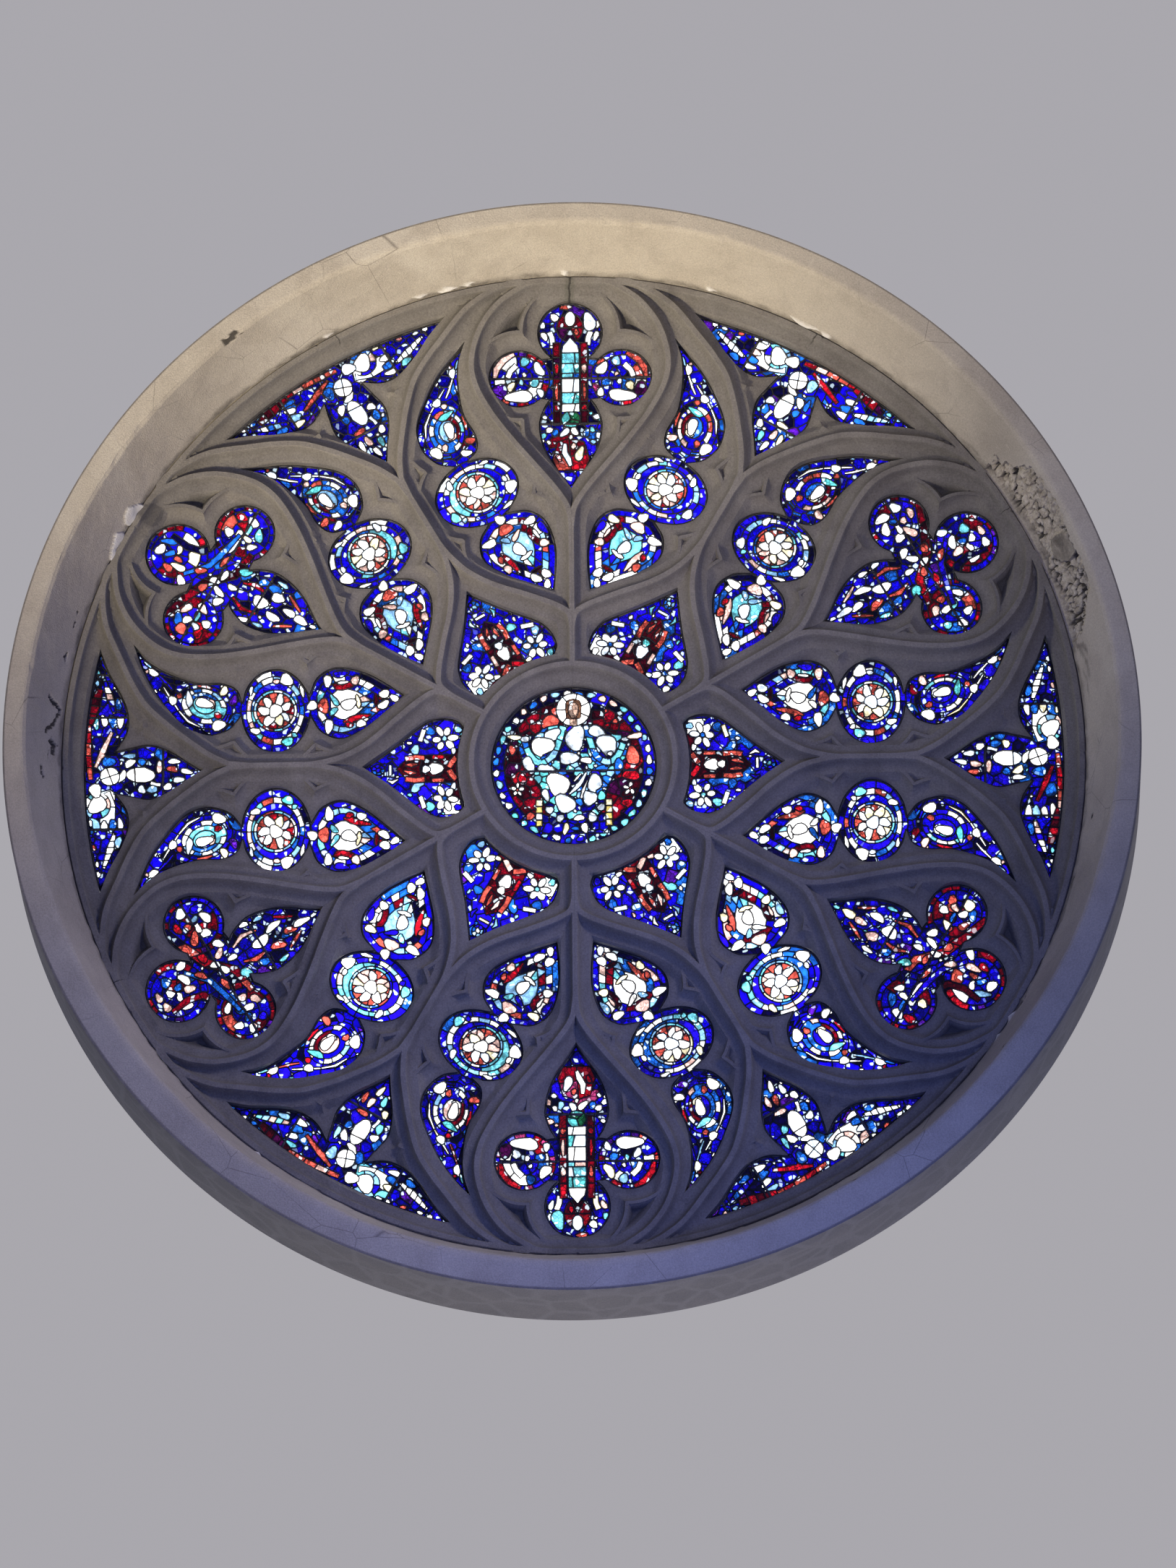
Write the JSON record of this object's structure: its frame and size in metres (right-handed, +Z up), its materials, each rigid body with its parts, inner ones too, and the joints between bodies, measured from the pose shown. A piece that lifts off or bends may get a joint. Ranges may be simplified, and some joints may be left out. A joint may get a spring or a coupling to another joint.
{
  "type": "rose window",
  "caption": "Round church window of flowing carved stone tracery, set in a splayed plaster reveal and glazed with coloured leaded glass.",
  "frame": {"origin": "centre of the window's circle, on the plane of its flat back", "axes": "-Y out of the carved face, into the room; +Z up; +X to the right of someone who faces the carved side"},
  "size_m": [5.0996, 0.52, 5.0996],
  "materials": {
    "stone": "matte tooled limestone, darkened by age, with paler worn fillets",
    "plaster": "matte cream lime plaster, chipped in places, with rough masonry behind",
    "leaded_glass": "coloured glass, mostly cobalt blue, with ruby, white, cyan and yellow pieces",
    "lead": "dull grey rolled lead, oxidised"
  },
  "bodies": {
    "root": {"splayed_reveal": "plaster", "eye_glass": "leaded_glass", "tracery_stone_1": "stone", "tracery_stone_2": "stone", "tracery_stone_3": "stone", "tracery_stone_4": "stone", "tracery_stone_5": "stone", "tracery_stone_6": "stone", "petal_glass_1": "leaded_glass", "petal_glass_2": "leaded_glass", "petal_glass_3": "leaded_glass", "petal_glass_4": "leaded_glass", "petal_glass_5": "leaded_glass", "petal_glass_6": "leaded_glass", "rim_trefoil_glass_1": "leaded_glass", "rim_trefoil_glass_2": "leaded_glass", "rim_trefoil_glass_3": "leaded_glass", "rim_trefoil_glass_4": "leaded_glass", "rim_trefoil_glass_5": "leaded_glass", "rim_trefoil_glass_6": "leaded_glass", "mouchette_glass_left_1": "leaded_glass", "mouchette_glass_left_2": "leaded_glass", "mouchette_glass_left_3": "leaded_glass", "mouchette_glass_left_4": "leaded_glass", "mouchette_glass_left_5": "leaded_glass", "mouchette_glass_left_6": "leaded_glass", "mouchette_glass_right_1": "leaded_glass", "mouchette_glass_right_2": "leaded_glass", "mouchette_glass_right_3": "leaded_glass", "mouchette_glass_right_4": "leaded_glass", "mouchette_glass_right_5": "leaded_glass", "mouchette_glass_right_6": "leaded_glass", "quatrefoil_glass_1": "leaded_glass", "quatrefoil_glass_2": "leaded_glass", "quatrefoil_glass_3": "leaded_glass", "quatrefoil_glass_4": "leaded_glass", "quatrefoil_glass_5": "leaded_glass", "quatrefoil_glass_6": "leaded_glass"}
  },
  "joints": []
}
